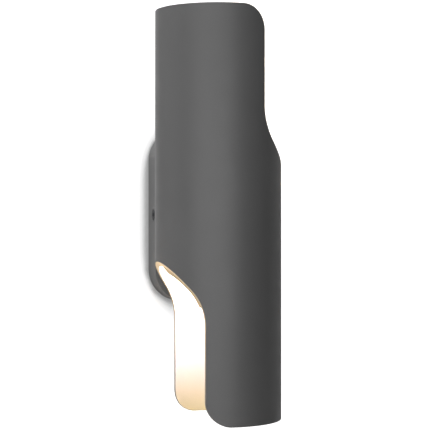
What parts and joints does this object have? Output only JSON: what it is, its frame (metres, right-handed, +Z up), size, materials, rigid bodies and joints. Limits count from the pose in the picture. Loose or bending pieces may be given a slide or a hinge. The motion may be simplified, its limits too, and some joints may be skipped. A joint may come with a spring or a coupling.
{
  "type": "outdoor up and down wall light",
  "caption": "Round tube wall light with S-shaped end cuts that shines up and down, on a rounded wall plate housing that slides over a folded bracket and is clamped by side screws.",
  "frame": {"origin": "on the wall, in the middle between the wall bracket's two slots and behind the middle of the tube", "axes": "+Z up along the tube, +Y into the wall, so the light stands out towards -Y; +X is to the right for someone who faces the wall"},
  "size_m": [0.092, 0.115, 0.297],
  "materials": {
    "body_grey": "matte",
    "cast_aluminium": "matte",
    "white_coated": "matte",
    "zinc_steel": "satin",
    "stainless": "satin",
    "dark_steel": "satin",
    "brass": "satin",
    "black_rubber": "matte",
    "grey_silicone": "matte",
    "white_plastic": "matte",
    "black_plastic": "satin",
    "opal": "satin",
    "led_phosphor": "satin",
    "lead_brown": "satin",
    "lead_blue": "satin",
    "lead_green_yellow": "satin",
    "lead_red": "satin"
  },
  "bodies": {
    "bracket": {"wall_bracket": "zinc_steel", "cable_grommet": "black_rubber", "bracket_earth_screw": "brass", "earth_washer": "zinc_steel"},
    "lamp": {"canopy": "body_grey", "rim_gasket": "black_rubber", "saddle_gasket": "black_rubber", "tube": "body_grey", "body_screws": "zinc_steel", "wire_grommet": "black_rubber", "core_body": "cast_aluminium", "core_lid": "cast_aluminium", "lid_screws": "zinc_steel", "led_driver": "black_plastic", "driver_screws": "zinc_steel", "lower_led_board": "white_coated", "upper_led_board": "white_coated", "lower_leds": "led_phosphor", "upper_leds": "led_phosphor", "board_screws": "zinc_steel", "lower_reflector": "white_plastic", "upper_reflector": "white_plastic", "lower_seal": "grey_silicone", "upper_seal": "grey_silicone", "lower_cover": "opal", "upper_cover": "opal", "lower_retaining_ring": "stainless", "upper_retaining_ring": "stainless", "terminal_block": "white_plastic", "terminal_clamps": "brass", "terminal_screws": "brass", "terminal_block_screws": "zinc_steel", "cord_clamp": "white_plastic", "cord_clamp_screws": "zinc_steel", "live_lead": "lead_brown", "neutral_lead": "lead_blue", "earth_lead": "lead_green_yellow", "earth_tag": "brass", "canopy_earth_screw": "brass", "upper_led_leads": "lead_red", "lower_led_leads": "lead_red"},
    "side_screw_left": {"side_screw_left": "dark_steel"},
    "side_screw_right": {"side_screw_right": "dark_steel"}
  },
  "joints": [
    {"name": "lamp_off", "type": "slide", "parent": "bracket", "child": "lamp", "axis": [0, -1, 0], "range_m": [0, 0.03]},
    {"name": "side_screw_left_out", "type": "slide", "parent": "lamp", "child": "side_screw_left", "axis": [-1, 0, 0], "range_m": [0, 0.003]},
    {"name": "side_screw_right_out", "type": "slide", "parent": "lamp", "child": "side_screw_right", "axis": [1, 0, 0], "range_m": [0, 0.003]}
  ]
}
